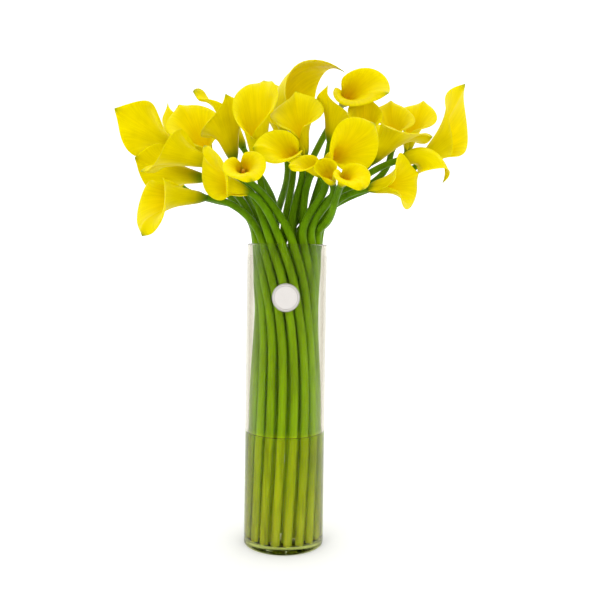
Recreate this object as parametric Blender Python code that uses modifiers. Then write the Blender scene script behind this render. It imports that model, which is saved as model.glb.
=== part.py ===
"""Calla lilies standing in a tall glass cylinder of water, closed by a round seal on the glass.

The vase is turned, the water is bored for the stems, and each flower is two pieces: a stem that ends
in its spadix, and the spathe, one petal-like leaf wrapped round it. Metres, +Z up, +Y away from the
viewer, origin in the middle of the vase's underside.
"""
import math
from dataclasses import dataclass

import bmesh
import bpy
import numpy as np
from mathutils import Matrix, Vector, kdtree

for old in list(bpy.data.objects):
    bpy.data.objects.remove(old)

MM = 0.001
GAP = 0.3 * MM  # left between pieces that touch on the real thing

# Vase, a florist's 12 x 45 cm cylinder
VASE_RADIUS = 60 * MM
VASE_HEIGHT = 450 * MM
VASE_WALL = 3.5 * MM
VASE_BASE = 10 * MM
RIM_ROUND = 1.2 * MM
TURN_STEPS = 48
BORE_RADIUS = VASE_RADIUS - VASE_WALL
WATER_LEVEL = 168 * MM

# Seal on the front of the glass
SEAL_RADIUS = 20.5 * MM
SEAL_THICK = 1.2 * MM
SEAL_HEIGHT = 373 * MM
SEAL_SIDES = 40

# Stems
STEM_RADIUS = 6.1 * MM  # in the vase
NECK_RADIUS = 4.7 * MM  # where the spathe starts
FOOT_DIP = 0.25 * MM  # a leaning stem's square-cut end reaches this much below its centre
STEM_FOOT = VASE_BASE + GAP + FOOT_DIP
STRAIGHT_TO = 200 * MM  # straight in the water and a little above it
TURN_FROM = 260 * MM
WAIST_HEIGHT = 355 * MM
WAIST_SQUEEZE = 0.87  # the bundle is this much narrower there than at its feet
MOUTH_SQUEEZE = 0.97
BUNDLE_TURN = math.radians(45)  # spiral of the hand-tied bundle, above the water
CROSS_TURN = math.radians(35)  # from above the mouth out to its flower
FOOT_TURN = math.radians(9)  # the feet lean the other way
BORE_SIDES = 8
RINGS = ((18, 48.6 * MM), (8, 29 * MM), (2, 10 * MM))  # stems in each ring and its radius
FREE_POINTS = 22  # along a stem above the vase while the stems push each other apart
CLEARANCE = 1.2 * MM
PUSHES = 90
MOUTH_LEVER = 0.42  # share of the way to its flower that a stem keeps its direction out of the vase
FLOWER_LEVER = 0.36  # and how far before its flower it takes the flower's direction
SPADIX = ((7, 3.1), (11, 3.3), (24, 3.0), (29, 1.2))  # mm from the collar, mm radius

# Spathes
SPATHE_THICK = 1.2 * MM
COLLAR_ROOM = 0.7 * MM  # between the round stem and the folded sheet's middle, beyond half its thickness
COLUMNS = 12
ROWS = (0.0, 0.14, 0.34, 0.57, 0.80, 1.0)  # shares of the way from the collar to the margin
SLIT = 0.93  # the margins stop this share of half a turn from the back, so they never cross
CONE = 11  # degrees that the tube widens by
THROAT = 0.32  # share of the length below which the spathe is a plain tube


@dataclass
class Calla:
    """One flower. Degrees for angles; the shares are of its length."""

    base: tuple  # mm, where the spathe leaves the stem
    axis: tuple  # the way its tube points
    back: tuple  # the side its tip stands on
    length: float  # mm, along the back to the start of the tip
    side: float = 75  # flare of the limb at the sides
    rear: float = 30  # flare at the back
    lip: float = 62  # flare at the front, where the margins meet
    front: float = 0.46  # share: length of the front
    curl: float = 70  # recurving of the tip
    point: float = 0.15  # share: length of the tip
    roll: float = 35  # rolling out of the margin
    drop: float = 0.72  # share: falling of the margins where they meet
    arch: float = 0  # bending of the whole flower over its mouth
    wave: float = 7  # waviness of the margin
    waves: float = 2.5
    cone: float = CONE
    bow: tuple = (0, 0, 0)  # mm that the middle of the stem swings aside


# Forms that several flowers share
BUD = {"side": 11, "rear": 4, "lip": 6, "cone": 6, "roll": 5}
GOBLET = {"side": 30, "rear": 15, "roll": 60, "curl": 90}
URN = {"side": 10, "rear": 12, "lip": 45, "roll": 50, "curl": 80, "point": 0.08, "drop": 0.25}
EAR = {"side": 100, "rear": 12, "roll": 80, "curl": -15, "front": 0.6}
COWL = {"side": 40, "rear": 18, "roll": 40, "curl": 0, "front": 0.5, "cone": 22}
HORN = {"side": 74, "rear": 34, "lip": 40, "roll": 15, "curl": 0, "front": 0.4, "cone": 17}
FAN = {"side": 85, "rear": 32}
SAUCER = {"side": 60, "rear": 45, "point": 0.12}
TONGUE = {"side": 60, "rear": 88, "point": 0.12, "cone": 7}
LAPEL = {"side": 60, "rear": 5, "front": 0.74}
CUP = {"side": 18, "rear": 12, "lip": 15, "front": 0.77, "roll": 40, "point": 0.07, "curl": 10}

CALLAS = [
    Calla((-197, 150, 578), (-0.05, -0.05, 1), (-0.3, -0.95, 0), 94, **BUD, curl=-20),
    Calla((-170, 92, 597), (-0.9, 0.15, 0.45), (-0.05, -0.95, 0.25), 112, side=74, curl=10, wave=14),
    Calla((-128, 30, 549), (-0.95, 0.3, 0.15), (-0.25, -0.9, 0.3), 102),
    Calla((-124, 60, 568), (-0.25, -0.45, 0.85), (-0.5, 0.8, 0.3), 105, rear=45),
    Calla((-122, -15, 517), (-0.8, -0.6, -0.02), (-0.1, -0.1, -1), 112, side=72, rear=48, lip=10, front=0.7, cone=9),
    Calla((-109, -15, 567), (-0.95, -0.1, 0.25), (-0.25, -0.3, -0.95), 96, front=0.72, curl=40),
    Calla((-76, 115, 606), (-0.45, 0.1, 0.85), (-0.9, -0.3, -0.3), 98, **BUD, curl=140, point=0.42),
    Calla((-82, 5, 574), (-0.25, -0.15, 0.95), (0.55, -0.85, 0), 88, **EAR, cone=15),
    Calla((-60, -104, 545), (0.05, -0.85, 0.25), (0.35, -0.1, -0.95), 68, **SAUCER),
    Calla((-54, -75, 522), (-0.85, -0.45, 0.25), (0.1, 0.35, 0.95), 84, side=80, rear=50, lip=80),
    Calla((-41, -50, 556), (-0.08, -0.15, 1), (0.3, 0.95, 0.15), 132, **URN, wave=3),
    Calla((-6, 93, 600), (-0.2, -0.1, 1), (0.05, 1, 0.1), 110, rear=20),
    Calla((6, 39, 600), (-0.12, -0.02, 1), (-0.85, 0.45, 0), 116, **COWL, arch=124),
    Calla((24, -40, 576), (-0.2, -0.25, 0.95), (0.1, 0.95, 0.25), 92, side=85, rear=26, front=0.56),
    Calla((17, -56, 565), (-0.42, -0.78, 0.4), (-0.9, 0.1, -0.35), 76, side=65),
    Calla((52, -82, 566), (0.6, -0.75, 0.2), (0.45, 0.5, 0.7), 84, side=85, rear=55, lip=70),
    Calla((48, -98, 545), (-0.6, -0.6, 0.55), (-0.7, 0.05, -0.7), 48, side=60),
    Calla((61, -28, 600), (0.15, -0.15, 1), (-0.8, -0.55, 0), 71, side=92, rear=15, curl=-10),
    Calla((62, -114, 533), (-0.3, -0.75, 0.55), (-0.45, 0.55, 0.7), 38, **CUP),
    Calla((73, -133, 530), (0.2, -0.8, 0.4), (0.4, 0.05, -0.9), 55, **TONGUE, bow=(5, -9, -19)),
    Calla((83, 68, 672), (0.2, -0.85, 0.25), (0.85, 0, -0.65), 104, side=66, rear=38, curl=30),
    Calla((113, 2, 592), (0, -0.25, 0.95), (0, 0.95, 0.25), 76, **GOBLET),
    Calla((113, -80, 529), (0.92, -0.32, 0.18), (0.3, 0.9, 0.3), 76, side=100, rear=60, front=0.75),
    Calla((119, -34, 569), (0.65, -0.1, 0.75), (0.75, 0.05, -0.65), 90, side=85, front=0.65, wave=16),
    Calla((158, 30, 594), (0.05, -0.2, 0.95), (-0.1, 0.95, 0.25), 78, **FAN),
    Calla((160, -50, 573), (0.95, -0.25, 0.25), (-0.35, -0.3, 0.9), 66, **LAPEL, arch=110, curl=0),
    Calla((200, 15, 575), (0.7, -0.35, 0.57), (-0.75, 0.45, 0.6), 116, **HORN),
    Calla((189, 78, 601), (0.15, -0.25, 0.95), (0.4, 0.9, 0.2), 82, **FAN),
]


def material(name, colour, roughness, metallic=0.0, clear=0.0):
    """Principled material; clear is the share of light that passes through."""
    made = bpy.data.materials.new(name)
    made.use_nodes = True
    shader = made.node_tree.nodes["Principled BSDF"]
    shader.inputs["Base Color"].default_value = (*colour, 1)
    shader.inputs["Roughness"].default_value = roughness
    shader.inputs["Metallic"].default_value = metallic
    shader.inputs["Transmission Weight"].default_value = clear
    return made


CLEAR_GLASS = material("clear_glass", (0.93, 0.95, 0.93), 0.02, clear=1)
WATER = material("water", (0.9, 0.96, 0.9), 0.0, clear=1)
STEM_GREEN = material("stem_green", (0.16, 0.30, 0.01), 0.45)
PETAL_YELLOW = material("petal_yellow", (0.93, 0.72, 0.0), 0.45)
SEAL_WHITE = material("seal_white", (0.80, 0.76, 0.74), 0.5)

bouquet = bpy.data.collections.new("calla_lily_bouquet")
cutters = bpy.data.collections.new("cutters")
for collection in (bouquet, cutters):
    bpy.context.scene.collection.children.link(collection)
arrangement = bpy.data.objects.new("arrangement", None)  # everything hangs on this empty
bouquet.objects.link(arrangement)


def add(name, data, finish=None):
    """A piece with its material or, without one, a cutter that no render shows."""
    made = bpy.data.objects.new(name, data)
    made.parent = arrangement
    if finish:
        data.materials.append(finish)
        bouquet.objects.link(made)
    else:
        cutters.objects.link(made)
        made.hide_render = True
        made.display_type = "WIRE"
    return made


def turned(name, outline, finish, steps, ring=False):
    """Solid of revolution about Z from (radius, height) points; a ring's outline closes on itself."""
    edges = [(i, i + 1) for i in range(len(outline) - 1)]
    if ring:
        edges.append((len(outline) - 1, 0))
    mesh = bpy.data.meshes.new(name)
    mesh.from_pydata([(r, 0, z) for r, z in outline], edges, [])
    made = add(name, mesh, finish)
    spin = made.modifiers.new("turn", "SCREW")
    spin.steps = spin.render_steps = steps
    spin.use_merge_vertices = True
    spin.merge_threshold = 0.00001
    return made


def rod(name, radius, start, end, sides):
    """Cutter: a cylinder from one point to another."""
    start, end = Vector(start), Vector(end)
    shape = bmesh.new()
    bmesh.ops.create_cone(
        shape, cap_ends=True, segments=sides, radius1=radius, radius2=radius, depth=(end - start).length
    )
    mesh = bpy.data.meshes.new(name)
    shape.to_mesh(mesh)
    shape.free()
    made = add(name, mesh)
    made.location = (start + end) / 2
    made.rotation_euler = (end - start).to_track_quat("Z", "Y").to_euler()
    return made


def boolean(target, cutter, operation):
    cut = target.modifiers.new(cutter.name, "BOOLEAN")
    cut.operation = operation
    cut.object = cutter
    cut.solver = "EXACT"


def arc(centre, radius, start, end, steps):
    return [
        (centre[0] + radius * math.cos(a), centre[1] + radius * math.sin(a))
        for a in np.radians(np.linspace(start, end, steps + 1))
    ]


# --- Vase: one turned profile, from the rim's crest down the outside and back up the bore


def vase_object():
    rim_out = VASE_RADIUS - RIM_ROUND
    rim_in = BORE_RADIUS + RIM_ROUND
    crest = VASE_HEIGHT - RIM_ROUND
    inside = [(0, VASE_BASE), (BORE_RADIUS, VASE_BASE)] + arc((rim_in, crest), RIM_ROUND, 180, 90, 2)
    outside = arc((rim_out, crest), RIM_ROUND, 90, 0, 2) + [(VASE_RADIUS, RIM_ROUND), (rim_out, 0), (0, 0)]
    return turned("glass_vase", inside + outside, CLEAR_GLASS, TURN_STEPS)


vase_object()


# --- Seal: the piece of a thin tube round the glass that a cylinder from the front cuts out


def seal_object():
    inner = VASE_RADIUS + GAP
    outer = inner + SEAL_THICK
    low, high = SEAL_HEIGHT - 1.5 * SEAL_RADIUS, SEAL_HEIGHT + 1.5 * SEAL_RADIUS
    tube = [(inner, high), (outer, high), (outer, low), (inner, low)]
    seal = turned("round_seal", tube, SEAL_WHITE, 2 * TURN_STEPS, ring=True)
    before, behind = (0, -1.5 * VASE_RADIUS, SEAL_HEIGHT), (0, -0.5 * VASE_RADIUS, SEAL_HEIGHT)
    punch = rod("seal_punch", SEAL_RADIUS, before, behind, SEAL_SIDES)
    boolean(seal, punch, "INTERSECT")
    return seal


seal_object()


# --- Spathe: a flat grid rolled into a cone that flares and turns over at its margin


def smooth(x):
    x = np.clip(x, 0, 1)
    return x * x * (3 - 2 * x)


def bent(calla, points):
    """Points bent over the mouth, on an arc that turns by calla.arch over the flower's length."""
    if not calla.arch:
        return points
    straight = THROAT * calla.length * MM
    rate = math.radians(calla.arch) / (calla.length * MM - straight)
    outward, along = -points[..., 0], points[..., 2] - straight
    turn = rate * np.maximum(along, 0)
    reach = 1 / rate - outward
    bend = points.copy()
    bend[..., 0] = reach * np.cos(turn) - 1 / rate
    bend[..., 2] = reach * np.sin(turn) + straight + np.minimum(along, 0)
    return bend


def spathe_sheet(calla, columns, rows, fine=80):
    """Middle surface of the spathe, (columns + 1) x len(rows) points. +X is the back, +Z the tube."""
    length = calla.length * MM
    across = np.linspace(-1, 1, columns + 1)
    angle = np.sign(across) * np.abs(across) ** 1.15 * math.pi * SLIT
    turn = np.abs(angle)
    backness = (1 + np.cos(turn)) / 2
    reach = calla.front + (1 - calla.front) * backness**0.75
    reach = reach + calla.point * np.exp(-((turn / 0.30) ** 1.2))
    reach = length * reach * (1 - calla.drop * smooth((turn / math.pi - 0.84) / 0.28))

    throat = THROAT * length
    s = reach[:, None] * np.linspace(0, 1, fine + 1)
    span = (reach - throat)[:, None]
    out = np.clip((s - throat) / span, 0, 1)
    side, rear, lip = np.sin(turn) ** 1.5, backness**1.5, (1 - backness) ** 1.5
    flare = (calla.side * side + calla.rear * rear + calla.lip * lip) / (side + rear + lip)
    flare = flare + calla.wave * np.sin(calla.waves * angle)
    slope = calla.cone + (flare[:, None] - calla.cone) * out**1.25

    margin = np.minimum(0.133 * length, 0.8 * span)
    rolled = np.clip(1 - (reach[:, None] - s) / margin, 0, 1) ** 1.5
    slope = slope + calla.roll * (1 - np.exp(-((turn / 0.5) ** 2)))[:, None] * rolled
    recurved = np.clip(1 - (reach[:, None] - s) / (0.286 * length), 0, 1) ** 1.5
    slope = slope + calla.curl * np.exp(-((turn / 0.42) ** 2))[:, None] * recurved

    slope = np.radians(slope)
    step = np.diff(s, axis=1)
    radius = (NECK_RADIUS + SPATHE_THICK / 2 + COLLAR_ROOM) + np.zeros_like(s)
    height = np.zeros_like(s)
    radius[:, 1:] += np.cumsum(step * (np.sin(slope[:, 1:]) + np.sin(slope[:, :-1])) / 2, axis=1)
    height[:, 1:] += np.cumsum(step * (np.cos(slope[:, 1:]) + np.cos(slope[:, :-1])) / 2, axis=1)
    pick = np.round(np.array(rows) * fine).astype(int)
    radius, height = radius[:, pick], height[:, pick]
    points = np.stack([radius * np.cos(angle)[:, None], radius * np.sin(angle)[:, None], height], axis=-1)
    return bent(calla, points)


def frame(calla):
    """Rotation and place of a flower: +Z along its tube, +X to its back."""
    z = Vector(calla.axis).normalized()
    x = Vector(calla.back)
    x = (x - z * x.dot(z)).normalized()
    turn = np.array([x, z.cross(x), z]).T
    return turn, np.array(calla.base) * MM


def placed(calla, points):
    turn, base = frame(calla)
    return points @ turn.T + base


def spathe_object(name, calla):
    points = spathe_sheet(calla, COLUMNS, ROWS)
    sheet = bmesh.new()
    bmesh.ops.create_grid(sheet, x_segments=COLUMNS, y_segments=len(ROWS) - 1, size=1)
    for vert in sheet.verts:
        column = round((vert.co.x + 1) / 2 * COLUMNS)
        row = round((vert.co.y + 1) / 2 * (len(ROWS) - 1))
        vert.co = points[column, row]
    mesh = bpy.data.meshes.new(name)
    sheet.to_mesh(mesh)
    sheet.free()
    mesh.shade_smooth()
    spathe = add(name, mesh, PETAL_YELLOW)
    turn, spathe.location = frame(calla)
    spathe.rotation_euler = Matrix(turn.tolist()).to_euler()
    thicken = spathe.modifiers.new("thickness", "SOLIDIFY")
    thicken.thickness = SPATHE_THICK
    thicken.offset = 0
    return spathe


# --- Stems: straight in the water, gathered at the waist, then fanning out to the flowers


def bundle_point(angle, radius, height):
    """Where the stem of a slot passes at a height inside the vase."""
    if height < STRAIGHT_TO:
        foot = np.array([radius * math.cos(angle - FOOT_TURN), radius * math.sin(angle - FOOT_TURN), 0])
        share = height / STRAIGHT_TO
        return foot * (1 - share) + bundle_point(angle, radius, STRAIGHT_TO) * share
    lower = smooth((height - STRAIGHT_TO) / (WAIST_HEIGHT - STRAIGHT_TO))
    upper = smooth((height - WAIST_HEIGHT) / (VASE_HEIGHT - WAIST_HEIGHT))
    squeeze = 1 - (1 - WAIST_SQUEEZE) * lower + (MOUTH_SQUEEZE - WAIST_SQUEEZE) * upper
    here = angle - BUNDLE_TURN * np.clip((height - TURN_FROM) / (VASE_HEIGHT - TURN_FROM), 0, None) ** 2
    return np.array([radius * squeeze * math.cos(here), radius * squeeze * math.sin(here), height])


def slots():
    """A slot (angle, radius) for each calla: those that lean most stand in the outer ring, in order."""
    bases = np.array([calla.base for calla in CALLAS]) * MM
    lean = np.hypot(bases[:, 0], bases[:, 1]) / (bases[:, 2] - VASE_HEIGHT * 0.8)
    way = np.arctan2(bases[:, 1], bases[:, 0])
    order = list(np.argsort(-lean))
    chosen = [None] * len(CALLAS)
    for count, radius in RINGS:
        ring = sorted(order[:count], key=lambda i: way[i])
        order = order[count:]
        even = -math.pi + 2 * math.pi * (np.arange(count) + 0.5) / count
        # Turn the even spacing to where it suits the flowers' own directions best
        gap = np.angle(np.exp(1j * (way[ring] - even)))
        even = even + np.angle(np.exp(1j * gap).mean())
        for i, angle in zip(ring, even):
            chosen[i] = (angle + CROSS_TURN + BUNDLE_TURN, radius)
    return chosen


def bezier(start, out, back, end, share):
    share = np.asarray(share)[:, None]
    rest = 1 - share
    return rest**3 * start + 3 * rest**2 * share * out + 3 * rest * share**2 * back + share**3 * end


def free_path(calla, slot):
    """From the vase's mouth to the flower, before the stems push each other apart."""
    mouth = bundle_point(*slot, VASE_HEIGHT)
    rise = mouth - bundle_point(*slot, VASE_HEIGHT - 20 * MM)
    rise = rise / np.linalg.norm(rise)
    turn, base = frame(calla)
    reach = np.linalg.norm(base - mouth)
    leave = mouth + rise * reach * MOUTH_LEVER
    meet = base - turn[:, 2] * reach * FLOWER_LEVER
    path = bezier(mouth, leave, meet, base, np.linspace(0, 1, FREE_POINTS))
    swing = np.sin(np.linspace(0, math.pi, FREE_POINTS)) ** 2
    return path + swing[:, None] * np.array(calla.bow) * MM


def spathe_tree(calla):
    """Points all over a spathe, ready to be asked which is nearest."""
    points = placed(calla, spathe_sheet(calla, 28, np.linspace(0, 1, 17))).reshape(-1, 3)
    tree = kdtree.KDTree(len(points))
    for i, point in enumerate(points):
        tree.insert(point, i)
    tree.balance()
    return tree


def pushed_apart(paths, radii):
    """Moves the stems' free stretches until none touches another stem, or a spathe.

    The ends stay where they are. A stem's last points lie in its own collar, so they ignore that spathe.
    """
    trees = [spathe_tree(calla) for calla in CALLAS]
    paths = np.array(paths)
    shift = np.zeros_like(paths)
    held = np.ones(FREE_POINTS)
    held[[0, -1, -2]] = 0
    for _ in range(PUSHES):
        now = paths + shift
        push = np.zeros_like(paths)
        for i in range(len(paths)):
            for j in range(i + 1, len(paths)):
                apart = now[i][:, None] - now[j][None]
                distance = np.linalg.norm(apart, axis=-1)
                short = np.maximum(radii[:, None] + radii + CLEARANCE - distance, 0)
                half = apart / distance[..., None] * short[..., None] / 2
                push[i] += half.sum(axis=1) / np.maximum((short > 0).sum(axis=1), 1)[:, None]
                push[j] -= half.sum(axis=0) / np.maximum((short > 0).sum(axis=0), 1)[:, None]
            for k, tree in enumerate(trees):
                for n in range(2, FREE_POINTS - (5 if k == i else 2)):
                    near, _, distance = tree.find(now[i][n])
                    room = radii[n] + SPATHE_THICK / 2 + CLEARANCE
                    if distance < room:
                        push[i][n] += (now[i][n] - np.array(near)) / distance * (room - distance)
        shift = shift + push * held[:, None]
        shift[:, 1:-1] = (shift[:, 1:-1] * 2 + shift[:, :-2] + shift[:, 2:]) / 4
        shift = shift * held[:, None]
    return paths + shift


def stem_object(name, calla, slot, free):
    """One curve from the cut end in the water to the tip of the spadix."""
    heights = [STEM_FOOT, STRAIGHT_TO, *np.linspace(TURN_FROM, VASE_HEIGHT, 5)[:-1]]
    in_vase = [bundle_point(*slot, z) for z in heights]
    spadix_along, spadix_radii = np.array(SPADIX).T * MM
    spadix = placed(calla, bent(calla, np.outer(spadix_along, (0, 0, 1))))
    fan = free[::3]
    points = [*in_vase, *fan, *spadix]
    fan_radii = np.linspace(STEM_RADIUS, NECK_RADIUS, len(fan))
    radii = [STEM_RADIUS] * len(in_vase) + list(fan_radii) + list(spadix_radii)
    curve = bpy.data.curves.new(name, "CURVE")
    curve.dimensions = "3D"
    curve.bevel_depth = 1
    curve.bevel_resolution = 2
    curve.use_fill_caps = True
    line = curve.splines.new("POLY")
    line.points.add(len(points) - 1)
    for dot, place, radius in zip(line.points, points, radii):
        dot.co = (*place, 1)
        dot.radius = radius
    return add(name, curve, STEM_GREEN)


chosen_slots = slots()
free_radii = np.linspace(STEM_RADIUS, NECK_RADIUS, FREE_POINTS)
fans = pushed_apart([free_path(calla, slot) for calla, slot in zip(CALLAS, chosen_slots)], free_radii)
for number, (calla, slot, fan) in enumerate(zip(CALLAS, chosen_slots, fans), start=1):
    stem_object(f"calla_{number:02d}_stem", calla, slot, fan)
    spathe_object(f"calla_{number:02d}_spathe", calla)


# --- Water: fills the bore up to its level, less a straight hole round each stem


def water_object():
    low, side = VASE_BASE + GAP, BORE_RADIUS - GAP
    outline = [(0, WATER_LEVEL), (side, WATER_LEVEL), (side, low), (0, low)]
    water = turned("water", outline, WATER, TURN_STEPS)
    bore_radius = (STEM_RADIUS + GAP) / math.cos(math.pi / BORE_SIDES)  # its flats clear the stem too
    for number, slot in enumerate(chosen_slots, start=1):
        foot, top = bundle_point(*slot, 0), bundle_point(*slot, STRAIGHT_TO)
        bore = rod(f"stem_bore_{number:02d}", bore_radius, foot, top, BORE_SIDES)
        boolean(water, bore, "DIFFERENCE")
    return water


water_object()
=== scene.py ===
# %% [markdown]
# # Yellow calla lilies in a tall glass cylinder
# The building work is done already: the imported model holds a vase, its water, a round seal on the
# glass and 28 flowers, each a stem with its spadix and one spathe. Those solids are plain, because
# they are there for weight and contact. This script gives every one of them its looks.
# It loads the model first and keeps its box, because nothing here may grow past it.

# %% Load the model
import math
from dataclasses import dataclass

import bmesh
import bpy
import numpy as np
from mathutils import Matrix, Vector


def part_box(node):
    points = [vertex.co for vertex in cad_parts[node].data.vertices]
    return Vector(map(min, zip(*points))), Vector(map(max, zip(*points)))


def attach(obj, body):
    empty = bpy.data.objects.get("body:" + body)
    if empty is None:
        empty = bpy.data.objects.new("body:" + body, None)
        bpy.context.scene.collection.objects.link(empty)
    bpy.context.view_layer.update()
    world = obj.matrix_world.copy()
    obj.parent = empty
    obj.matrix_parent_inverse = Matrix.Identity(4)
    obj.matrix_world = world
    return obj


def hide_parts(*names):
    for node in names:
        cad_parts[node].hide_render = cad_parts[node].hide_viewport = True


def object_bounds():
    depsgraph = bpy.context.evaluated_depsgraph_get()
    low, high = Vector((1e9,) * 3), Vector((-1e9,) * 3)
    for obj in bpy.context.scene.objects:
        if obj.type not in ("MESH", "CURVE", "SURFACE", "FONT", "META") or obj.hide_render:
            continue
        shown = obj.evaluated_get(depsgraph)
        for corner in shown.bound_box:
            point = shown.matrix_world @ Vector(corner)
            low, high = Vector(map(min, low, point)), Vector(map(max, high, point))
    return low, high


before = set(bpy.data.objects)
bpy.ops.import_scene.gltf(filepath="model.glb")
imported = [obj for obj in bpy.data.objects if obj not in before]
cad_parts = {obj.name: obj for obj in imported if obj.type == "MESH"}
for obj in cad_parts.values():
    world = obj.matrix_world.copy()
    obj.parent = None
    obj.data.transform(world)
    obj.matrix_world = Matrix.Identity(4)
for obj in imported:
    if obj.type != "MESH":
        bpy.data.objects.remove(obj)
model_low, model_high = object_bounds()
MM = 0.001
print("model, mm:", [round((high - low) / MM) for low, high in zip(model_low, model_high)])

# %% [markdown]
# ## Helpers for colour, nodes and pieces
# Colours are read off as sRGB hex, the way a paint chart gives them, while shaders count in linear
# light, so one function turns one into the other. A second adds a shader node with its settings and
# its links. A third puts a finished mesh or curve into the scene, on the model's one body, and hides
# the plain solid it stands for.


# %% Colour and nodes
def colour(code):
    """Linear RGBA of an sRGB hex value."""
    srgb = [int(code[i : i + 2], 16) / 255 for i in (0, 2, 4)]
    return [c / 12.92 if c <= 0.04045 else ((c + 0.055) / 1.055) ** 2.4 for c in srgb] + [1]


def add_node(tree, kind, inputs=None, stops=None, **settings):
    """A shader node. Inputs are values or the sockets that feed them; stops are a ramp's."""
    made = tree.nodes.new("ShaderNode" + kind)
    for name, value in settings.items():
        setattr(made, name, value)
    for socket, value in (inputs or {}).items():
        if isinstance(value, bpy.types.NodeSocket):
            tree.links.new(value, made.inputs[socket])
        else:
            made.inputs[socket].default_value = value
    for place, code in (stops or {}).items():
        ramp = made.color_ramp.elements
        stop = ramp[0] if place == 0 else ramp[-1] if place == 1 else ramp.new(place)
        stop.color = colour(code)
    return made


def new_material(name):
    """A material with nothing but its output and a Principled shader joined to it."""
    made = bpy.data.materials.new(name)
    made.use_nodes = True
    return made, made.node_tree, made.node_tree.nodes["Principled BSDF"]


# %% Pieces
def add_piece(name, data, slot, stands_for, *materials):
    piece = bpy.data.objects.new(name, data)
    bpy.context.scene.collection.objects.link(piece)
    for finish in materials:
        data.materials.append(finish)
    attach(piece, "root")
    if stands_for:
        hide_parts(stands_for)
    return piece


# %% [markdown]
# ## Stage
# A pale floor, a white room and three large soft lights: a bouquet this yellow needs little more.
# The room itself gives most of the light, so that the stems inside the glass, which only get what
# comes through it, are as well lit as the flowers. A curved backdrop would hide the horizon too, but
# only from one side. The floor is a wide disc, so that the camera can go round the vase and never see
# an edge.

# %% Floor, room and lights
FLOOR_RADIUS = 30
UNDER_VASE = 0.1 * MM  # so that floor and glass never share a face
floor_mesh = bpy.data.meshes.new("floor")
disc = bmesh.new()
bmesh.ops.create_circle(disc, cap_ends=True, segments=96, radius=FLOOR_RADIUS)
disc.to_mesh(floor_mesh)
disc.free()
floor = bpy.data.objects.new("floor", floor_mesh)
floor.location.z = model_low.z - UNDER_VASE
bpy.context.scene.collection.objects.link(floor)

# Matt emulsion, rolled on: it scatters nearly all the light and shines back almost none.
floor_paint, tree, shader = new_material("matt_white_floor_paint")
shader.inputs["Base Color"].default_value = colour("F2F2F0")
shader.inputs["Roughness"].default_value = 0.9
shader.inputs["Specular IOR Level"].default_value = 0.1
floor_mesh.materials.append(floor_paint)

room = bpy.data.worlds.new("white_room")
room.use_nodes = True
room.node_tree.nodes["Background"].inputs["Color"].default_value = colour("FFFFFF")
room.node_tree.nodes["Background"].inputs["Strength"].default_value = 1.36
bpy.context.scene.world = room

LIGHTS = {  # place, width, watts
    "key_light": ((-1.3, -1.9, 2.3), 1.2, 6),
    "fill_light": ((1.6, -2.2, 1.2), 1.4, 4),
    "top_light": ((0.1, 0.3, 2.6), 1.6, 5),
}
for name, (place, width, watts) in LIGHTS.items():
    lamp = bpy.data.lights.new(name, "AREA")
    lamp.size, lamp.energy = width, watts
    light = bpy.data.objects.new(name, lamp)
    light.location = place
    aim = Vector((0, 0, 0.5)) - light.location
    light.rotation_euler = aim.to_track_quat("-Z", "Y").to_euler()
    bpy.context.scene.collection.objects.link(light)
bpy.context.scene.view_settings.view_transform = "Standard"
print("stage:", len(LIGHTS), "lights")

# %% [markdown]
# ## Camera
# The viewer stands a good metre away and looks a little down, with the lens level with the rim.
# Tilting the camera further would show the foot as well, but it would make the vase narrower towards
# the table. Shifting the lens keeps its sides parallel.

# %% Camera
lens = bpy.data.cameras.new("camera")
lens.sensor_width, lens.lens = 36, 46.5  # mm
lens.shift_y = -0.066  # looks nearly level past the rim, yet shows the vase down to its foot
camera = bpy.data.objects.new("camera", lens)
EYE = (0.0195, -1.169, 0.45)  # metres; the last is the height of the rim
LOOK_DOWN, ROLL = 1.2, 0.8  # degrees
camera.matrix_world = (
    Matrix.Translation(EYE)
    @ Matrix.Rotation(math.radians(90 - LOOK_DOWN), 4, "X")
    @ Matrix.Rotation(math.radians(ROLL), 4, "Z")
)
bpy.context.scene.collection.objects.link(camera)
bpy.context.scene.camera = camera
print("camera:", round(-EYE[1], 2), "m from the vase's middle, lens", lens.lens, "mm")

# %% [markdown]
# ## The stems' middle lines
# The flowers have to sit exactly where the model has them. Its stems are eight-sided tubes, so
# walking from the lowest ring of points along the edges finds one ring after another, and the middle
# of each ring lies on the stem's own line. Typing the lines in again would be quicker to write, but
# they would part from the model at its next change. The last four rings belong to the spadix, the
# small spike in the flower, and the ring before them is the collar where the spathe starts.

# %% Middle lines from the model
SIDES = 8
SPADIX_RINGS = 4


def middle_line(solid):
    """Middles and radii of a tube's rings, from the lowest one up."""
    mesh = bmesh.new()
    mesh.from_mesh(solid.data)
    bmesh.ops.remove_doubles(mesh, verts=mesh.verts, dist=0.001 * MM)
    ring = set(sorted(mesh.verts, key=lambda vert: vert.co.z)[:SIDES])
    seen, middles, radii = set(ring), [], []
    while ring:
        middle = sum((vert.co for vert in ring), Vector()) / len(ring)
        middles.append(np.array(middle))
        radii.append(max((vert.co - middle).length for vert in ring))
        ring = {edge.other_vert(vert) for vert in ring for edge in vert.link_edges} - seen
        seen |= ring
    mesh.free()
    return np.array(middles), np.array(radii)


stem_names = sorted(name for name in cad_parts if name.endswith("_stem"))
lines = {name: middle_line(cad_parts[name]) for name in stem_names}
print(len(lines), "stems of", sorted({len(middles) for middles, _ in lines.values()}), "rings")

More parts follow.
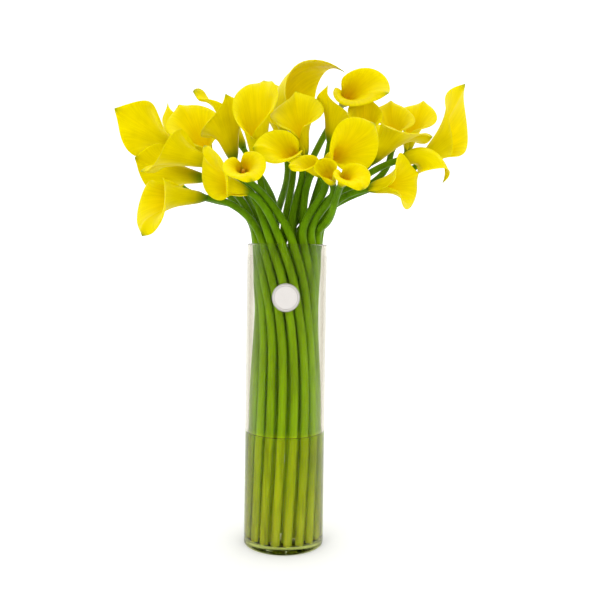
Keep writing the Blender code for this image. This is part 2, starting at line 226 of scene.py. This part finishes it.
# %% [markdown]
# ## Shape of a spathe
# A calla's "petal" is a single leaf rolled into a funnel. Seen that way it has only two directions:
# round the funnel, and from the collar out to the margin. Along each line from collar to margin the
# leaf starts as a plain tube, leans outward more and more, and turns over at its edge. So the shape
# needs no modelling by hand: the lean at each point is summed up into a radius and a height. The
# back of the leaf is long and ends in a point, and its front is short, where the two margins overlap.
# A sheet pushed and pulled by hand would look as natural, but it would have to be done 28 times.
#
# `Calla` holds what differs from flower to flower.


# %% What differs from flower to flower
@dataclass
class Calla:
    """Degrees for angles; the shares are of the length."""

    back: tuple  # the side its tip stands on
    length: float  # mm, along the back to the start of the tip
    side: float = 75  # flare at the sides
    rear: float = 30  # flare at the back
    lip: float = 62  # flare at the front, where the margins meet
    front: float = 0.46  # share: length of the front
    curl: float = 70  # recurving of the tip
    point: float = 0.15  # share: length of the tip
    roll: float = 35  # rolling out of the margin
    drop: float = 0.72  # share: falling of the margins where they meet
    arch: float = 0  # bending of the whole flower over its mouth
    wave: float = 7  # waviness of the margin
    waves: float = 2.5
    cone: float = 11  # widening of the tube


BUD = {"side": 11, "rear": 4, "lip": 6, "cone": 6, "roll": 5}
GOBLET = {"side": 30, "rear": 15, "roll": 60, "curl": 90}
URN = {"side": 10, "rear": 12, "lip": 45, "roll": 50, "curl": 80, "point": 0.08, "drop": 0.25}
EAR = {"side": 100, "rear": 12, "roll": 80, "curl": -15, "front": 0.6}
COWL = {"side": 40, "rear": 18, "roll": 40, "curl": 0, "front": 0.5, "cone": 22}
HORN = {"side": 74, "rear": 34, "lip": 40, "roll": 15, "curl": 0, "front": 0.4, "cone": 17}
FAN = {"side": 85, "rear": 32}
SAUCER = {"side": 60, "rear": 45, "point": 0.12}
TONGUE = {"side": 60, "rear": 88, "point": 0.12, "cone": 7}
LAPEL = {"side": 60, "rear": 5, "front": 0.74}
CUP = {"side": 18, "rear": 12, "lip": 15, "front": 0.77, "roll": 40, "point": 0.07, "curl": 10}

CALLAS = [
    Calla((-0.3, -0.95, 0), 94, **BUD, curl=-20),
    Calla((-0.05, -0.95, 0.25), 112, side=74, curl=10, wave=14),
    Calla((-0.25, -0.9, 0.3), 102),
    Calla((-0.5, 0.8, 0.3), 105, rear=45),
    Calla((-0.1, -0.1, -1), 112, side=72, rear=48, lip=10, front=0.7, cone=9),
    Calla((-0.25, -0.3, -0.95), 96, front=0.72, curl=40),
    Calla((-0.9, -0.3, -0.3), 98, **BUD, curl=140, point=0.42),
    Calla((0.55, -0.85, 0), 88, **EAR, cone=15),
    Calla((0.35, -0.1, -0.95), 68, **SAUCER),
    Calla((0.1, 0.35, 0.95), 84, side=80, rear=50, lip=80),
    Calla((0.3, 0.95, 0.15), 132, **URN, wave=3),
    Calla((0.05, 1, 0.1), 110, rear=20),
    Calla((-0.85, 0.45, 0), 116, **COWL, arch=124),
    Calla((0.1, 0.95, 0.25), 92, side=85, rear=26, front=0.56),
    Calla((-0.9, 0.1, -0.35), 76, side=65),
    Calla((0.45, 0.5, 0.7), 84, side=85, rear=55, lip=70),
    Calla((-0.7, 0.05, -0.7), 48, side=60),
    Calla((-0.8, -0.55, 0), 71, side=92, rear=15, curl=-10),
    Calla((-0.45, 0.55, 0.7), 38, **CUP),
    Calla((0.4, 0.05, -0.9), 55, **TONGUE),
    Calla((0.85, 0, -0.65), 104, side=66, rear=38, curl=30),
    Calla((0, 0.95, 0.25), 76, **GOBLET),
    Calla((0.3, 0.9, 0.3), 76, side=100, rear=60, front=0.75),
    Calla((0.75, 0.05, -0.65), 90, side=85, front=0.65, wave=16),
    Calla((-0.1, 0.95, 0.25), 78, **FAN),
    Calla((-0.35, -0.3, 0.9), 66, **LAPEL, arch=110, curl=0),
    Calla((-0.75, 0.45, 0.6), 116, **HORN),
    Calla((0.4, 0.9, 0.2), 82, **FAN),
]
print(len(CALLAS), "flowers, the longest", max(calla.length for calla in CALLAS), "mm")


# %% Sizes that all spathes share
COLUMNS, ROWS = 64, 40
WRAP = 1.12  # half turns from the back to each margin, so the margins overlap at the front
THROAT = 0.32  # share of the length below which the spathe is a plain tube
NECK = 4.8 * MM  # radius of the collar, close round the stem
SWELL = 1.3 * MM  # the tube stands off this much above the collar
LAP = 1.1 * MM  # each margin lies this far out of or into the roll where they overlap
KEEL = 1.5 * MM  # depth of the groove along the midrib
print("a leaf wraps", round(WRAP * 360), "degrees round its flower")


# %% Helpers for the surface
def smooth(x):
    """0 below 0, 1 above 1, and an even S between them."""
    x = np.clip(x, 0, 1)
    return x * x * (3 - 2 * x)


def bent(calla, points):
    """Points bent over the mouth, on an arc that turns by calla.arch over the flower's length."""
    if not calla.arch:
        return points
    straight = THROAT * calla.length * MM
    rate = math.radians(calla.arch) / (calla.length * MM - straight)
    outward, along = -points[..., 0], points[..., 2] - straight
    turn = rate * np.maximum(along, 0)
    reach = 1 / rate - outward
    bend = points.copy()
    bend[..., 0] = reach * np.cos(turn) - 1 / rate
    bend[..., 2] = reach * np.sin(turn) + straight + np.minimum(along, 0)
    return bend


# %% The surface
def spathe_points(calla, fine=160):
    """The leaf's points, columns by rows. +X is the flower's back and +Z runs along its tube."""
    length = calla.length * MM
    across = np.linspace(-1, 1, COLUMNS + 1)
    angle = np.sign(across) * np.abs(across) ** 1.15 * math.pi * WRAP
    turn = np.abs(angle)
    backness = (1 + np.cos(np.minimum(turn, math.pi))) / 2
    reach = calla.front + (1 - calla.front) * backness**0.75
    reach = reach + calla.point * np.exp(-((turn / 0.30) ** 1.2))
    reach = length * reach * (1 - calla.drop * smooth((turn / math.pi - 0.84) / 0.28))

    throat = THROAT * length
    s = reach[:, None] * np.linspace(0, 1, fine + 1)
    span = np.maximum(reach - throat, 0.1 * MM)[:, None]
    out = np.clip((s - throat) / span, 0, 1)
    side, rear, lip = np.sin(np.minimum(turn, math.pi)) ** 1.5, backness**1.5, (1 - backness) ** 1.5
    flare = (calla.side * side + calla.rear * rear + calla.lip * lip) / (side + rear + lip)
    flare = flare + calla.wave * np.sin(calla.waves * angle)
    slope = calla.cone + (flare[:, None] - calla.cone) * out**1.25

    margin = np.minimum(0.133 * length, 0.8 * span)
    rolled = np.clip(1 - (reach[:, None] - s) / margin, 0, 1) ** 1.5 * (out > 0)
    slope = slope + calla.roll * (1 - np.exp(-((turn / 0.5) ** 2)))[:, None] * rolled
    recurved = np.clip(1 - (reach[:, None] - s) / (0.286 * length), 0, 1) ** 1.5
    slope = slope + calla.curl * np.exp(-((turn / 0.42) ** 2))[:, None] * recurved

    # Summing the lean along the leaf gives how far out and how far up each point is
    slope = np.radians(slope)
    step = np.diff(s, axis=1)
    radius = NECK + SWELL * smooth(s / (14 * MM))
    height = np.zeros_like(s)
    radius[:, 1:] += np.cumsum(step * (np.sin(slope[:, 1:]) + np.sin(slope[:, :-1])) / 2, axis=1)
    height[:, 1:] += np.cumsum(step * (np.cos(slope[:, 1:]) + np.cos(slope[:, :-1])) / 2, axis=1)
    lapping = across * smooth((turn / math.pi - 0.6) / 0.4)
    radius += LAP * lapping[:, None] * smooth(s / (12 * MM))
    radius -= KEEL * np.exp(-((turn / 0.16) ** 2))[:, None] * out**0.7
    turned_to = angle[:, None]
    points = np.stack([radius * np.cos(turned_to), radius * np.sin(turned_to), height], axis=-1)
    rows = 1 - (1 - np.linspace(0, 1, ROWS + 1)) ** 1.25  # closer together towards the margin
    return bent(calla, points[:, np.round(rows * fine).astype(int)])


# %% [markdown]
# ## Finish of a spathe
# A fresh spathe is thick, waxy leaf tissue. Light goes some millimetres into it and comes out again,
# which subsurface scattering gives. Outside, it starts the same green as the stem and turns lemon
# yellow by the middle of the funnel. Inside, light bounces from yellow to yellow and is deeper each
# time, so the throat is painted the palest of all: painted light that offsets the brown it would
# turn in that bounced light and its shade. Fine veins run from the collar to the margin, and the
# point at the back stays green. The colour follows two mesh coordinates, round and along the leaf.
# One material with a noise texture alone would be simpler, but it could not tell the leaf's two
# ends apart.


# %% Spathe finish
VEINS = 90  # drawn across the leaf, about 2 mm apart at the margin; real ones are finer
ALONG_VEIN = 2.2  # a vein changes its strength this often from collar to margin
CLOUD = 26 * MM  # width of the paler and deeper patches in the yellow


def spathe_finish(name, stops):
    made, tree, shader = new_material(name)
    leaf = add_node(tree, "UVMap", uv_map="leaf")
    place = add_node(tree, "SeparateXYZ", {"Vector": leaf.outputs["UV"]})
    base = add_node(tree, "ValToRGB", {"Fac": place.outputs["Y"]}, stops)

    stretched = add_node(
        tree, "Mapping", {"Vector": leaf.outputs["UV"], "Scale": (VEINS, ALONG_VEIN, 1)}
    )
    veins = add_node(
        tree, "TexNoise", {"Vector": stretched.outputs["Vector"], "Scale": 1.0, "Detail": 2.0}
    )
    vein_tone = add_node(
        tree,
        "MapRange",
        {
            "Value": veins.outputs["Fac"],
            "From Min": 0.3,
            "From Max": 0.7,
            "To Min": 0.90,
            "To Max": 1.04,
        },
    )
    spot = add_node(tree, "TexCoord")
    cloud = add_node(
        tree, "TexNoise", {"Vector": spot.outputs["Object"], "Scale": 1 / CLOUD, "Detail": 2.0}
    )
    tone = add_node(
        tree,
        "MapRange",
        {
            "Value": cloud.outputs["Fac"],
            "From Min": 0.3,
            "From Max": 0.7,
            "To Min": 0.93,
            "To Max": 1.03,
        },
    )
    both = add_node(
        tree,
        "Math",
        {0: vein_tone.outputs["Result"], 1: tone.outputs["Result"]},
        operation="MULTIPLY",
    )
    toned = add_node(
        tree, "HueSaturation", {"Color": base.outputs["Color"], "Value": both.outputs["Value"]}
    )

    # Green point: near the middle of the leaf, and only in its last stretch
    off_middle = add_node(tree, "Math", {0: place.outputs["X"], 1: 0.5}, operation="SUBTRACT")
    distance = add_node(tree, "Math", {0: off_middle.outputs["Value"]}, operation="ABSOLUTE")
    near = add_node(
        tree,
        "MapRange",
        {
            "Value": distance.outputs["Value"],
            "From Min": 0.0,
            "From Max": 0.035,
            "To Min": 1.0,
            "To Max": 0.0,
        },
    )
    last = add_node(
        tree, "MapRange", {"Value": place.outputs["Y"], "From Min": 0.86, "From Max": 1.0}
    )
    point = add_node(
        tree, "Math", {0: near.outputs["Result"], 1: last.outputs["Result"]}, operation="MULTIPLY"
    )
    greened = add_node(
        tree,
        "Mix",
        {"Factor": point.outputs["Value"], "A": toned.outputs["Color"], "B": colour("5F7A12")},
        data_type="RGBA",
    )
    ridges = add_node(
        tree, "Bump", {"Height": veins.outputs["Fac"], "Strength": 0.25, "Distance": 0.3 * MM}
    )
    tree.links.new(greened.outputs["Result"], shader.inputs["Base Color"])
    tree.links.new(ridges.outputs["Normal"], shader.inputs["Normal"])
    # The wax is thin and broken up, so the gloss is wide and weak and takes the leaf's own yellow
    shader.inputs["Roughness"].default_value = 0.45
    shader.inputs["IOR"].default_value = 1.42
    shader.inputs["Specular IOR Level"].default_value = 0.12
    shader.inputs["Specular Tint"].default_value = colour("F2DC30")
    # Yellow light runs millimetres through the tissue, and blue light is lost in it at once
    shader.inputs["Subsurface Weight"].default_value = 0.8
    shader.inputs["Subsurface Radius"].default_value = (1.0, 0.9, 0.08)
    shader.inputs["Subsurface Scale"].default_value = 3 * MM
    return made


outside = spathe_finish(
    "waxy_yellow_leaf_outside",
    {0: "527808", 0.08: "7A8804", 0.20: "C0B200", 0.36: "D2C400", 1: "D6C800"},
)
# Painted light: palest at the throat and deeper towards the margin, to offset the funnel's bounced
# light and shade
inside = spathe_finish(
    "waxy_yellow_leaf_inside",
    {0: "F2C600", 0.12: "F2CC00", 0.26: "E8CC00", 0.45: "DAC600", 1: "D0C200"},
)
print("finishes:", outside.name, "and", inside.name)


# %% Build the spathes
LEAF_THICK = 1.3 * MM
MARGIN_SHARE = 0.4  # thickness of the margin, as a share of the tube's
THIN_COLLAR = 0.08  # share of the length over which it thickens from where it leaves the stem


def flower_place(number):
    """Matrix that stands a flower on its collar, from the model's own stem."""
    middles, _ = lines[f"calla_{number:02d}_stem"]
    collar, beyond = Vector(middles[-SPADIX_RINGS - 1]), Vector(middles[-SPADIX_RINGS])
    z = (beyond - collar).normalized()
    x = Vector(CALLAS[number - 1].back)
    x = (x - z * x.dot(z)).normalized()
    turn = Matrix((x, z.cross(x), z)).transposed()
    return Matrix.Translation(collar) @ turn.to_4x4()


def spathe_piece(number, calla):
    points = spathe_points(calla)
    sheet = bmesh.new()
    bmesh.ops.create_grid(sheet, x_segments=COLUMNS, y_segments=ROWS, size=1)
    leaf = sheet.loops.layers.uv.new("leaf")
    for face in sheet.faces:
        for loop in face.loops:
            loop[leaf].uv = ((loop.vert.co.x + 1) / 2, (loop.vert.co.y + 1) / 2)
    along = []
    for vert in sheet.verts:
        column = round((vert.co.x + 1) / 2 * COLUMNS)
        row = round((vert.co.y + 1) / 2 * ROWS)
        along.append(row / ROWS)
        vert.co = points[column, row]
    bmesh.ops.transform(sheet, matrix=flower_place(number), verts=sheet.verts)
    mesh = bpy.data.meshes.new("spathe")
    sheet.to_mesh(mesh)
    sheet.free()
    mesh.shade_smooth()
    name = f"calla_{number:02d}_spathe"
    piece = add_piece(f"spathe_{number:02d}", mesh, "petal_yellow", name, outside, inside)
    thick = piece.vertex_groups.new(name="thick")
    for i, share in enumerate(along):
        collar = min(1, share / THIN_COLLAR)
        thick.add([i], float(collar * (1 - share) ** 0.5), "REPLACE")
    shell = piece.modifiers.new("leaf thickness", "SOLIDIFY")
    shell.thickness = LEAF_THICK
    shell.offset = 0
    shell.vertex_group = "thick"
    shell.thickness_vertex_group = MARGIN_SHARE
    shell.material_offset = 1
    return piece


for number, calla in enumerate(CALLAS, start=1):
    spathe_piece(number, calla)
print("spathes:", len(CALLAS), "of", COLUMNS * ROWS, "quads a side")

# %% [markdown]
# ## Spadix
# The little spike in the funnel is covered in hundreds of tiny flowers set in spirals. A turned spike
# whose radius rises and falls in two crossing spirals has that knobbly skin in its geometry, with far
# fewer faces than hundreds of little balls. It is the same yellow as pollen, and matt.

# %% Spadix
SPADIX_FROM, SPADIX_RADIUS = 4 * MM, 2.7 * MM  # it starts that far above the collar
SPADIX_SHARE = 0.24  # its tip is this share of the flower's length above the collar
KNOB = 0.22 * MM  # how far a tiny flower stands out
TINY_FLOWER = 1.1 * MM  # how wide it is
ROUND, UP = 36, 70  # points round it and along it

# Ripe pollen is a dry powder: rough, with a soft pale sheen where it is seen at a slant
pollen, tree, shader = new_material("pollen_covered_spike")
spot = add_node(tree, "TexCoord")
grains = add_node(tree, "TexNoise", {"Vector": spot.outputs["Object"], "Scale": 1 / TINY_FLOWER})
dust = add_node(tree, "ValToRGB", {"Fac": grains.outputs["Fac"]}, {0: "C98A00", 1: "F6C81E"})
tree.links.new(dust.outputs["Color"], shader.inputs["Base Color"])
shader.inputs["Roughness"].default_value = 0.85
shader.inputs["Sheen Weight"].default_value = 0.2


# %% Build the spadices
def spadix_piece(number, calla):
    share = np.linspace(0, 1, UP + 1)[:, None]
    angle = np.linspace(0, 2 * math.pi, ROUND, endpoint=False)[None]
    knobs = np.sin(6 * angle + 60 * share) * np.sin(6 * angle - 60 * share)
    rounded_tip = np.sqrt(np.clip(1 - share**6, 0, 1))
    radius = SPADIX_RADIUS * rounded_tip * (1 - 0.12 * share) + KNOB * knobs * (1 - share**4)
    tip = SPADIX_SHARE * calla.length * MM
    height = SPADIX_FROM + (tip - SPADIX_FROM) * share + 0 * angle
    points = np.stack([radius * np.cos(angle), radius * np.sin(angle), height], axis=-1)
    points = bent(calla, points)
    place = np.array(flower_place(number))
    points = points @ place[:3, :3].T + place[:3, 3]
    corner = np.arange((UP + 1) * ROUND).reshape(UP + 1, ROUND)
    after = np.roll(corner, -1, axis=1)
    faces = np.stack([corner[:-1], after[:-1], after[1:], corner[1:]], axis=-1)
    ends = [corner[0, ::-1].tolist(), corner[-1].tolist()]
    mesh = bpy.data.meshes.new("spadix")
    mesh.from_pydata(points.reshape(-1, 3).tolist(), [], faces.reshape(-1, 4).tolist() + ends)
    mesh.shade_smooth()
    return add_piece(f"spadix_{number:02d}", mesh, "petal_yellow", None, pollen)


for number, calla in enumerate(CALLAS, start=1):
    spadix_piece(number, calla)
print("spadices:", len(CALLAS))

# %% [markdown]
# ## Stems
# A calla's stem is a smooth, fleshy rod. Rings of points joined up would make it, and a curve with a
# round bevel gives the same rod in one step, smoothly bent and with its own radius at every point.
# It is painted deepest green above the vase, a step paler just under the rim, a step paler again
# just under the water and palest at its cut end: painted light that makes up for the light the glass
# and water take before it reaches the stem. Fine fibres run along it under a waxy skin.

# %% Stem finish
FIBRE = (1.1 * MM, 1.1 * MM, 40 * MM)  # size of one; real ones are finer and would not show
TINTED_TO = 600 * MM  # the tint runs from the table up to here
PATCH = (13 * MM, 13 * MM, 110 * MM)  # one stem is a little paler or deeper than the next
stem_skin, tree, shader = new_material("waxy_green_stem")
spot = add_node(tree, "TexCoord")
place = add_node(tree, "SeparateXYZ", {"Vector": spot.outputs["Object"]})
rise = add_node(
    tree, "MapRange", {"Value": place.outputs["Z"], "From Min": 0.0, "From Max": TINTED_TO}
)
# Painted light: the paler steps under the rim and the water make up for light lost in glass and water
tint = add_node(
    tree,
    "ValToRGB",
    {"Fac": rise.outputs["Result"]},
    {
        0: "F8FF48",
        0.14: "ECFC24",
        0.275: "E0F818",  # just under the water's level
        0.29: "A4CC10",  # just above it
        0.55: "8CB40C",
        0.72: "80AA0A",  # just under the rim
        0.78: "5C8406",  # just above it
        0.88: "507806",
        1: "5A7C06",
    },
)
drawn = add_node(
    tree, "Mapping", {"Vector": spot.outputs["Object"], "Scale": [1 / size for size in FIBRE]}
)
apart = add_node(
    tree, "Mapping", {"Vector": spot.outputs["Object"], "Scale": [1 / size for size in PATCH]}
)
fibres = add_node(
    tree, "TexNoise", {"Vector": drawn.outputs["Vector"], "Scale": 1.0, "Detail": 2.0}
)
patches = add_node(
    tree, "TexNoise", {"Vector": apart.outputs["Vector"], "Scale": 1.0, "Detail": 1.0}
)
shade = add_node(
    tree, "Math", {0: fibres.outputs["Fac"], 1: patches.outputs["Fac"]}, operation="ADD"
)
level = add_node(
    tree,
    "MapRange",
    {
        "Value": shade.outputs["Value"],
        "From Min": 0.7,
        "From Max": 1.3,
        "To Min": 0.70,
        "To Max": 1.22,
    },
)
toned = add_node(
    tree, "HueSaturation", {"Color": tint.outputs["Color"], "Value": level.outputs["Result"]}
)
lines_up = add_node(
    tree, "Bump", {"Height": fibres.outputs["Fac"], "Strength": 0.2, "Distance": 0.2 * MM}
)
tree.links.new(toned.outputs["Color"], shader.inputs["Base Color"])
tree.links.new(lines_up.outputs["Normal"], shader.inputs["Normal"])
shader.inputs["Roughness"].default_value = 0.4
shader.inputs["IOR"].default_value = 1.42
shader.inputs["Specular IOR Level"].default_value = 0.18
shader.inputs["Specular Tint"].default_value = colour("A8C040")
shader.inputs["Subsurface Weight"].default_value = 0.15
shader.inputs["Subsurface Radius"].default_value = (0.5, 0.8, 0.1)
shader.inputs["Subsurface Scale"].default_value = 2 * MM


# %% Build the stems
STEM_END = 2.9 * MM  # radius inside the spathe, where the spadix starts
TO_SPADIX = 0.85  # share of the way from the collar to the spadix that the rod runs on


def stem_piece(number):
    name = f"calla_{number:02d}_stem"
    middles, radii = lines[name]
    last = len(middles) - SPADIX_RINGS
    collar, beyond = middles[last - 1], middles[last]
    inside_tube = collar + (beyond - collar) * TO_SPADIX
    middles = [*middles[:last], inside_tube]
    radii = [*radii[:last], STEM_END]
    curve = bpy.data.curves.new("stem", "CURVE")
    curve.dimensions = "3D"
    curve.bevel_depth = 1
    curve.bevel_resolution = 6
    curve.use_fill_caps = True
    curve.resolution_u = 5
    line = curve.splines.new("BEZIER")
    line.bezier_points.add(len(middles) - 1)
    for dot, middle, radius in zip(line.bezier_points, middles, radii):
        dot.co, dot.radius = middle, radius
        dot.handle_left_type = dot.handle_right_type = "AUTO"
    return add_piece(f"stem_{number:02d}", curve, "stem_green", name, stem_skin)


for number in range(1, len(CALLAS) + 1):
    stem_piece(number)
print("stems:", len(stem_names))

# %% [markdown]
# ## Vase
# A florist's cylinder is blown or drawn glass with a thick, heavy base and a fire-polished rim. A
# tube with a thickness modifier would have walls and base alike. One outline, turned round the
# middle, makes all of it, each part as thick as it should be. Real glass bends the view through it,
# so the wall has its true thickness, and the outline is finely stepped, because every flat would
# show.


# %% Turning
def arc(centre, radius, start, end, steps):
    """Points (across, up) of a round stretch between two angles in degrees."""
    return [
        (centre[0] + radius * math.cos(a), centre[1] + radius * math.sin(a))
        for a in np.radians(np.linspace(start, end, steps + 1))
    ]


def turned(name, outline, steps):
    """Mesh of an outline of (radius, height) points turned about Z; its ends are on the axis."""
    shape = bmesh.new()
    dots = [shape.verts.new((radius, 0, height)) for radius, height in outline]
    edges = [shape.edges.new(pair) for pair in zip(dots[:-1], dots[1:])]
    bmesh.ops.spin(
        shape,
        geom=dots + edges,
        cent=(0, 0, 0),
        axis=(0, 0, 1),
        angle=2 * math.pi,
        steps=steps,
        use_merge=True,
    )
    bmesh.ops.remove_doubles(shape, verts=shape.verts, dist=0.01 * MM)
    bmesh.ops.recalc_face_normals(shape, faces=shape.faces)
    mesh = bpy.data.meshes.new(name)
    shape.to_mesh(mesh)
    shape.free()
    mesh.shade_smooth()
    mesh.set_sharp_from_angle(angle=math.radians(40))
    return mesh


# %% Vase
_, vase_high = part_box("glass_vase")
OUTER, RIM = vase_high.x, vase_high.z
WALL, BASE = 3.5 * MM, 10 * MM
BORE = OUTER - WALL
FLOOR_CORNER = 6 * MM
FOOT_ROUND = 2 * MM
RIPPLE = 70 * MM  # from one slow swell of the drawn glass to the next
HOLD = 1 * MM  # a ring this close to each round edge keeps its shading off the straight wall

# Soda-lime glass, drawn and fire-polished: it is fully smooth and clear, yet its wall swells
# slowly, so the view through it wanders a little. Its iron gives thick glass a green-yellow cast.
glass, tree, shader = new_material("clear_soda_glass")
shader.inputs["Specular Tint"].default_value = colour("484848")
shader.inputs["Roughness"].default_value = 0.0
shader.inputs["IOR"].default_value = 1.5
shader.inputs["Transmission Weight"].default_value = 1.0
spot = add_node(tree, "TexCoord")
slow = add_node(
    tree, "TexNoise", {"Vector": spot.outputs["Object"], "Scale": 1 / RIPPLE, "Detail": 0.0}
)
ripple = add_node(
    tree, "Bump", {"Height": slow.outputs["Fac"], "Strength": 0.05, "Distance": 1 * MM}
)
tree.links.new(ripple.outputs["Normal"], shader.inputs["Normal"])
# At a slant the sides of the vase are greyed, partly by the light's longer way through the wall and
# partly as a painted reflection of a beige-grey studio round it
slant = add_node(tree, "LayerWeight", {"Blend": 0.5})
slant_grey_and_painted_reflection = add_node(
    tree,
    "ValToRGB",
    {"Fac": slant.outputs["Facing"]},
    {0: "FFFFFF", 0.35: "FFFFFF", 0.6: "C2B9AE", 1: "C2B9AE"},
)
tree.links.new(slant_grey_and_painted_reflection.outputs["Color"], shader.inputs["Base Color"])
tint = add_node(tree, "VolumeAbsorption", {"Color": colour("C1C800"), "Density": 20})
tree.links.new(tint.outputs["Volume"], tree.nodes["Material Output"].inputs["Volume"])

# %% Turn the vase
FOOT_RING, HOLLOW = 12 * MM, 0.6 * MM  # it stands on a ring, and the middle is ground hollow
RIM_MIDDLE = RIM - WALL / 2
outline = (
    [(0, BASE)]
    + arc((BORE - FLOOR_CORNER, BASE + FLOOR_CORNER), FLOOR_CORNER, 270, 360, 8)
    + [(BORE, BASE + FLOOR_CORNER + HOLD), (BORE, RIM_MIDDLE - HOLD)]
    + arc((OUTER - WALL / 2, RIM_MIDDLE), WALL / 2, 180, 0, 10)
    + [(OUTER, RIM_MIDDLE - HOLD), (OUTER, FOOT_ROUND + HOLD)]
    + arc((OUTER - FOOT_ROUND, FOOT_ROUND), FOOT_ROUND, 0, -90, 5)
    + [(OUTER - FOOT_RING, 0), (OUTER - FOOT_RING - 2 * MM, HOLLOW), (0, HOLLOW)]
)
AROUND = 160  # steps round the vase
vase = add_piece("vase", turned("vase", outline, AROUND), "clear_glass", "glass_vase", glass)
print("vase:", len(vase.data.polygons), "faces, wall", WALL / MM, "mm")

# %% [markdown]
# ## Water
# Water in a glass has no surface of its own against the wall: light goes straight from one into the
# other. If the two only touched, the renderer would see a film of air between them. So the water
# reaches a tenth of a millimetre into the glass, and the two bends add up to the right one. Its top
# climbs a little at the glass, which is what draws the thin line round the vase.

# %% Water
_, water_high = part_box("water")
LEVEL = water_high.z
INTO_GLASS = 0.1 * MM
CREEP, CREEP_WIDE = 1.6 * MM, 4 * MM

# Fresh tap water, a trace green from the stems
clear_water, tree, shader = new_material("still_water")
shader.inputs["Base Color"].default_value = colour("FBFFF8")
shader.inputs["Specular Tint"].default_value = colour("484848")
shader.inputs["Roughness"].default_value = 0.0
shader.inputs["IOR"].default_value = 1.333
shader.inputs["Transmission Weight"].default_value = 1.0

wet = BORE + INTO_GLASS
creep = [(wet - CREEP_WIDE * (1 - t), LEVEL + CREEP * t**3) for t in np.linspace(0, 1, 9)]
corner = FLOOR_CORNER + INTO_GLASS
outline = (
    [(0, LEVEL)]
    + creep
    + [(wet, LEVEL), (wet, BASE + FLOOR_CORNER + HOLD)]
    + arc((BORE - FLOOR_CORNER, BASE + FLOOR_CORNER), corner, 0, -90, 8)
    + [(0, BASE - INTO_GLASS)]
)
water_mesh = turned("water", outline, AROUND)
add_piece("water_body", water_mesh, "water", "water", clear_water)
print("water:", round((LEVEL - BASE) / MM), "mm deep")

# %% [markdown]
# ## Seal
# A round paper seal sits on the glass, with two fine raised rings and nothing printed inside them.
# Its rings are one outline turned about the middle of the seal, and the flat disc is then wrapped
# round the glass: each point's sideways distance becomes an angle. Cutting the disc out of a
# cylinder would curve it as well, but the rings would have to be cut too.

# %% Seal
seal_low, seal_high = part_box("round_seal")
SEAL_RADIUS = (seal_high.z - seal_low.z) / 2
SEAL_MIDDLE = (seal_high.z + seal_low.z) / 2
CARD = 0.7 * MM
FIBRES = 1.4 * MM  # drawn ten times coarser than paper fibres are, so that they show

# Coated paper, pressed: an even white with a faint gloss and a trace of its fibres
paper, tree, shader = new_material("coated_white_paper")
spot = add_node(tree, "TexCoord")
fibre = add_node(
    tree, "TexNoise", {"Vector": spot.outputs["Object"], "Scale": 1 / FIBRES, "Detail": 3.0}
)
tone = add_node(tree, "ValToRGB", {"Fac": fibre.outputs["Fac"]}, {0: "C6C1BE", 1: "D2CECC"})
grain = add_node(
    tree, "Bump", {"Height": fibre.outputs["Fac"], "Strength": 0.1, "Distance": 0.1 * MM}
)
reach = add_node(tree, "Attribute", attribute_name="from_middle")
# Painted shade: grey lines at the two raised rings and a greyer outer edge, where relief and edge
# fall in shade
painted_ring_shade = add_node(
    tree,
    "ValToRGB",
    {"Fac": reach.outputs["Fac"]},
    {
        0: "FFFFFF",
        0.80: "FFFFFF",
        0.83: "A09C98",
        0.86: "FFFFFF",
        0.90: "FFFFFF",
        0.94: "908C88",
        0.97: "F4F2F0",
        1: "C8C4C0",
    },
)
paper_with_ring_shade = add_node(
    tree,
    "Mix",
    {"Factor": 1.0, "A": tone.outputs["Color"], "B": painted_ring_shade.outputs["Color"]},
    data_type="RGBA",
    blend_type="MULTIPLY",
)
tree.links.new(paper_with_ring_shade.outputs["Result"], shader.inputs["Base Color"])
tree.links.new(grain.outputs["Normal"], shader.inputs["Normal"])
shader.inputs["Roughness"].default_value = 0.45

# %% Build the seal
RINGS = ((0.80, 0.05), (0.93, 0.06))  # middle and width of each, as shares of the radius
RING_HEIGHT = 0.5 * MM
ROUNDED = 0.03  # share of the radius over which the edge falls away
GLUE = 0.15 * MM  # between the glass and the paper

radial = np.linspace(0, 1, 61)
relief = sum(
    RING_HEIGHT * np.clip(1 - ((radial - middle) / (width / 2)) ** 2, 0, 1)
    for middle, width in RINGS
)
fall = np.sqrt(np.clip(1 - ((radial - (1 - ROUNDED)) / ROUNDED).clip(0) ** 2, 0, 1))
face = [(SEAL_RADIUS * r, CARD * f + h) for r, f, h in zip(radial, fall, relief)]
back = [(0, 0), (SEAL_RADIUS * 0.999, 0)]  # just inside the face, so that the two join in a ring
seal_mesh = turned("seal", back + face[::-1], 96)
from_middle = seal_mesh.attributes.new("from_middle", "FLOAT", "POINT")
for vert in seal_mesh.vertices:
    from_middle.data[vert.index].value = vert.co.xy.length / SEAL_RADIUS
    x, z, lift = vert.co.x, vert.co.y, vert.co.z
    out = OUTER + GLUE + lift
    vert.co = (out * math.sin(x / OUTER), -out * math.cos(x / OUTER), SEAL_MIDDLE + z)
shape = bmesh.new()
shape.from_mesh(seal_mesh)
bmesh.ops.recalc_face_normals(shape, faces=shape.faces)
shape.to_mesh(seal_mesh)
shape.free()
add_piece("seal", seal_mesh, "seal_white", "round_seal", paper)
print("seal:", round(2 * SEAL_RADIUS / MM), "mm across")
